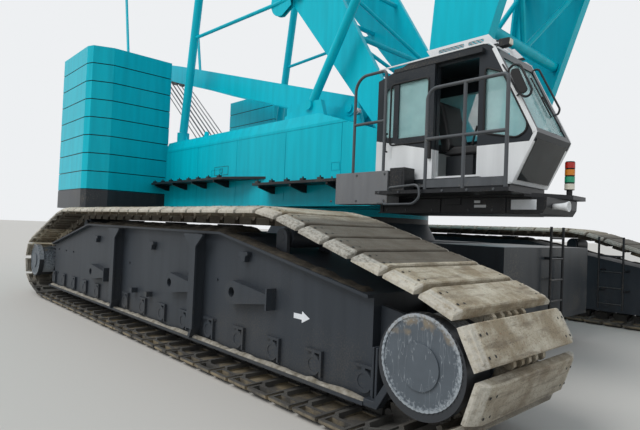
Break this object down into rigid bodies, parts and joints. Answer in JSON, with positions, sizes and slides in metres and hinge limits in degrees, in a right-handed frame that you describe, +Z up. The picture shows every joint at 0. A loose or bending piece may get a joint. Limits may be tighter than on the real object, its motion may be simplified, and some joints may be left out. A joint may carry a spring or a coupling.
{
  "type": "crawler crane",
  "caption": "Crawler crane with plated boom and mast feet, lattice boom, mast with lever and links, stacked counterweights, side cab and hook on its falls.",
  "frame": {"origin": "on the ground, under the middle of the crane's overall length and width", "axes": "+X to the front of the crane, +Y to its left, +Z up"},
  "size_m": [21.4084, 9.2, 26.2317],
  "materials": {
    "frame_paint": "dark grey enamel with mud",
    "ring_steel": "greased bearing steel",
    "weight_paint": "dark grey enamel",
    "black_paint": "black enamel",
    "shoe_steel": "cast shoes, worn edges, dry mud and rust",
    "wheel_steel": "scuffed dark steel",
    "teal_paint": "turquoise gloss enamel",
    "winch_paint": "grey enamel and wound rope",
    "cab_paint": "pale grey enamel, dark brown upper part",
    "window_glass": "greenish tinted safety glass",
    "seat_vinyl": "dark seat vinyl",
    "rail_paint": "grey enamel tube",
    "box_paint": "warm grey enamel",
    "lamp_plastic": "red, amber, green and pale lamp lenses",
    "cab_trim": "light grey enamel",
    "sheave_nylon": "black cast nylon",
    "rope_steel": "greased wire rope",
    "hook_steel": "forged hook steel"
  },
  "bodies": {
    "undercarriage": {"carbody": "frame_paint", "slew_ring": "ring_steel", "carbody_weights": "weight_paint", "undercarriage_ladders": "black_paint", "track_frame_right": "frame_paint", "track_frame_left": "frame_paint", "track_right": "shoe_steel", "track_left": "shoe_steel", "drive_tumblers": "wheel_steel", "idlers": "wheel_steel", "track_rollers": "wheel_steel"},
    "upper": {"main_frame": "teal_paint", "house_right": "teal_paint", "house_left": "teal_paint", "walkways": "black_paint", "winches": "winch_paint", "counterweight_trays": "weight_paint", "counterweight_right": "teal_paint", "counterweight_left": "teal_paint", "lever_brackets": "teal_paint", "strut_seats": "teal_paint", "boom_backstops": "teal_paint", "cab_shell": "cab_paint", "cab_side_wall": "cab_paint", "cab_glass": "window_glass", "cab_seat": "seat_vinyl", "cab_platform": "black_paint", "handrails": "rail_paint", "step_box": "box_paint", "warning_light": "lamp_plastic", "cab_fittings": "cab_trim"},
    "door": {"cab_door": "cab_paint", "cab_door_glass": "window_glass"},
    "boom": {"boom_base": "teal_paint", "boom_insert": "teal_paint", "boom_head": "teal_paint", "boom_head_sheaves": "sheave_nylon"},
    "mast": {"mast_base": "teal_paint", "mast_lattice": "teal_paint", "mast_head": "teal_paint", "mast_struts": "teal_paint"},
    "lever_arm": {"lever": "teal_paint", "lever_sheaves": "sheave_nylon"},
    "links": {"lever_links": "teal_paint"},
    "pendants": {"boom_pendants": "teal_paint"},
    "hook_fall": {"hoist_ropes": "rope_steel", "hook_block": "teal_paint", "hook": "hook_steel"}
  },
  "joints": [
    {"name": "slew", "type": "hinge", "parent": "undercarriage", "child": "upper", "pos_m": [1.44479, 0, 1.885], "axis": [0, 0, 1], "continuous": true},
    {"name": "boom_luff", "type": "hinge", "parent": "upper", "child": "boom", "pos_m": [4.24479, 0, 2.75], "axis": [0, 1, 0], "range_deg": [0, 58]},
    {"name": "mast_luff", "type": "hinge", "parent": "upper", "child": "mast", "pos_m": [3.59479, 0, 3.05], "axis": [0, 1, 0], "range_deg": [0, 58.42]},
    {"name": "lever_luff", "type": "hinge", "parent": "upper", "child": "lever_arm", "pos_m": [2.34479, 0, 3.8], "axis": [0, 1, 0], "range_deg": [0, 67.84]},
    {"name": "link_swing", "type": "hinge", "parent": "mast", "child": "links", "pos_m": [-10.44419, 0, 22.51553], "axis": [0, 1, 0], "range_deg": [-1.5, 0]},
    {"name": "pendant_swing", "type": "hinge", "parent": "mast", "child": "pendants", "pos_m": [-10.44419, 0, 22.51553], "axis": [0, 1, 0], "range_deg": [-2.43, 0]},
    {"name": "hook_hang", "type": "hinge", "parent": "boom", "child": "hook_fall", "pos_m": [10.37419, 0, 25.57439], "axis": [0, 1, 0], "range_deg": [-58.2, 0]},
    {"name": "door_slide", "type": "slide", "parent": "upper", "child": "door", "axis": [1, 0, 0], "range_m": [0, 0.6]}
  ],
  "couplings": [
    {"joint": "mast_luff", "follows": "boom_luff", "ratio": 1.0038},
    {"joint": "lever_luff", "follows": "boom_luff", "ratio": 1.1662},
    {"joint": "link_swing", "follows": "boom_luff", "ratio": -0.0225},
    {"joint": "pendant_swing", "follows": "boom_luff", "ratio": -0.0385},
    {"joint": "hook_hang", "follows": "boom_luff", "ratio": -1}
  ]
}
